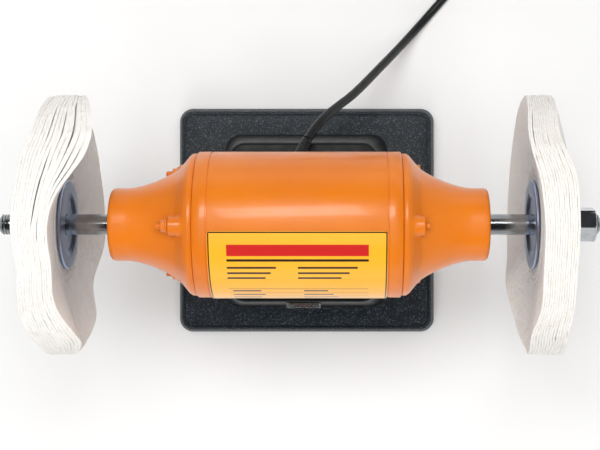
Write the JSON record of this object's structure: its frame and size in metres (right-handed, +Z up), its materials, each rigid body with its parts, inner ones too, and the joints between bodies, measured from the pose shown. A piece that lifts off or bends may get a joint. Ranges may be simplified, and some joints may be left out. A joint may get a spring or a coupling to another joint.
{
  "type": "bench buffer",
  "caption": "Double-ended bench buffer: an enclosed motor on a pedestal and cast base, with a stitched cotton wheel clamped on each end of its long shaft.",
  "frame": {"origin": "on the bench, under the middle of the motor", "axes": "+X along the shaft, to the right seen from the front; +Y to the rear; +Z up"},
  "size_m": [0.46, 0.4446, 0.288],
  "materials": {
    "orange_paint": "gloss orange enamel",
    "base_crinkle_paint": "dark blue-grey crinkle paint on cast iron",
    "pedestal_paint": "smooth semi-gloss black",
    "polished_steel": "ground and polished",
    "zinc_plate": "bright zinc plate",
    "nut_chrome": "bright nickel or chrome plate",
    "lamination_steel": "varnished steel laminations",
    "winding_copper": "varnished enamelled copper wire",
    "can_aluminium": "plain drawn can",
    "buff_cotton": "undyed cotton plies",
    "foot_rubber": "matte black",
    "cord_pvc": "satin black PVC",
    "switch_plastic": "black",
    "cap_plastic": "clear soft PVC",
    "terminal_plastic": "natural nylon",
    "seal_felt": "grey felt",
    "nameplate_print": "printed yellow"
  },
  "bodies": {
    "motor_frame": {"stator_housing": "orange_paint", "end_bell_left": "orange_paint", "end_bell_right": "orange_paint", "tie_rod_1": "orange_paint", "tie_rod_2": "orange_paint", "tie_rod_3": "orange_paint", "tie_rod_nut_1": "orange_paint", "tie_rod_nut_2": "orange_paint", "tie_rod_nut_3": "orange_paint", "base_plate": "base_crinkle_paint", "pedestal": "pedestal_paint", "motor_saddle": "pedestal_paint", "wave_spring": "polished_steel", "bearing_outer_ring_left": "polished_steel", "bearing_outer_ring_right": "polished_steel", "capacitor_clamp": "zinc_plate", "saddle_bolt_left": "zinc_plate", "saddle_bolt_right": "zinc_plate", "foot_screw_front_left": "zinc_plate", "foot_screw_front_right": "zinc_plate", "foot_screw_rear_left": "zinc_plate", "foot_screw_rear_right": "zinc_plate", "pedestal_bolt_front_left": "zinc_plate", "pedestal_bolt_front_right": "zinc_plate", "pedestal_bolt_rear_left": "zinc_plate", "pedestal_bolt_rear_right": "zinc_plate", "stator_core": "lamination_steel", "stator_winding_left": "winding_copper", "stator_winding_right": "winding_copper", "run_capacitor": "can_aluminium", "rubber_foot_front_left": "foot_rubber", "rubber_foot_front_right": "foot_rubber", "rubber_foot_rear_left": "foot_rubber", "rubber_foot_rear_right": "foot_rubber", "strain_relief": "cord_pvc", "power_cord": "cord_pvc", "cord_coil": "cord_pvc", "cord_tail": "cord_pvc", "plug": "cord_pvc", "switch_body": "switch_plastic", "switch_cap": "cap_plastic", "terminal_block": "terminal_plastic", "shaft_seal_left": "seal_felt", "shaft_seal_right": "seal_felt", "nameplate": "nameplate_print"},
    "spindle": {"shaft": "polished_steel", "rotor_core": "lamination_steel", "bearing_inner_ring_left": "polished_steel", "inner_flange_left": "zinc_plate", "outer_flange_left": "zinc_plate", "buff_wheel_left": "buff_cotton", "arbor_nut_left": "nut_chrome", "bearing_inner_ring_right": "polished_steel", "inner_flange_right": "zinc_plate", "outer_flange_right": "zinc_plate", "buff_wheel_right": "buff_cotton", "arbor_nut_right": "nut_chrome"},
    "cage_left": {"bearing_cage_left": "polished_steel"},
    "cage_right": {"bearing_cage_right": "polished_steel"},
    "rocker": {"switch_rocker": "switch_plastic"}
  },
  "joints": [
    {"name": "spindle_spin", "type": "hinge", "parent": "motor_frame", "child": "spindle", "pos_m": [0, 0, 0.188], "axis": [1, 0, 0], "continuous": true},
    {"name": "cage_left_spin", "type": "hinge", "parent": "motor_frame", "child": "cage_left", "pos_m": [-0.132, 0, 0.188], "axis": [1, 0, 0], "continuous": true},
    {"name": "cage_right_spin", "type": "hinge", "parent": "motor_frame", "child": "cage_right", "pos_m": [0.132, 0, 0.188], "axis": [1, 0, 0], "continuous": true},
    {"name": "switch_rocker_tilt", "type": "hinge", "parent": "motor_frame", "child": "rocker", "pos_m": [0, -0.06657, 0.09176], "axis": [-1, 0, 0], "range_deg": [0, 24]}
  ],
  "couplings": [
    {"joint": "cage_left_spin", "follows": "spindle_spin", "ratio": 0.3816},
    {"joint": "cage_right_spin", "follows": "spindle_spin", "ratio": 0.3816}
  ]
}
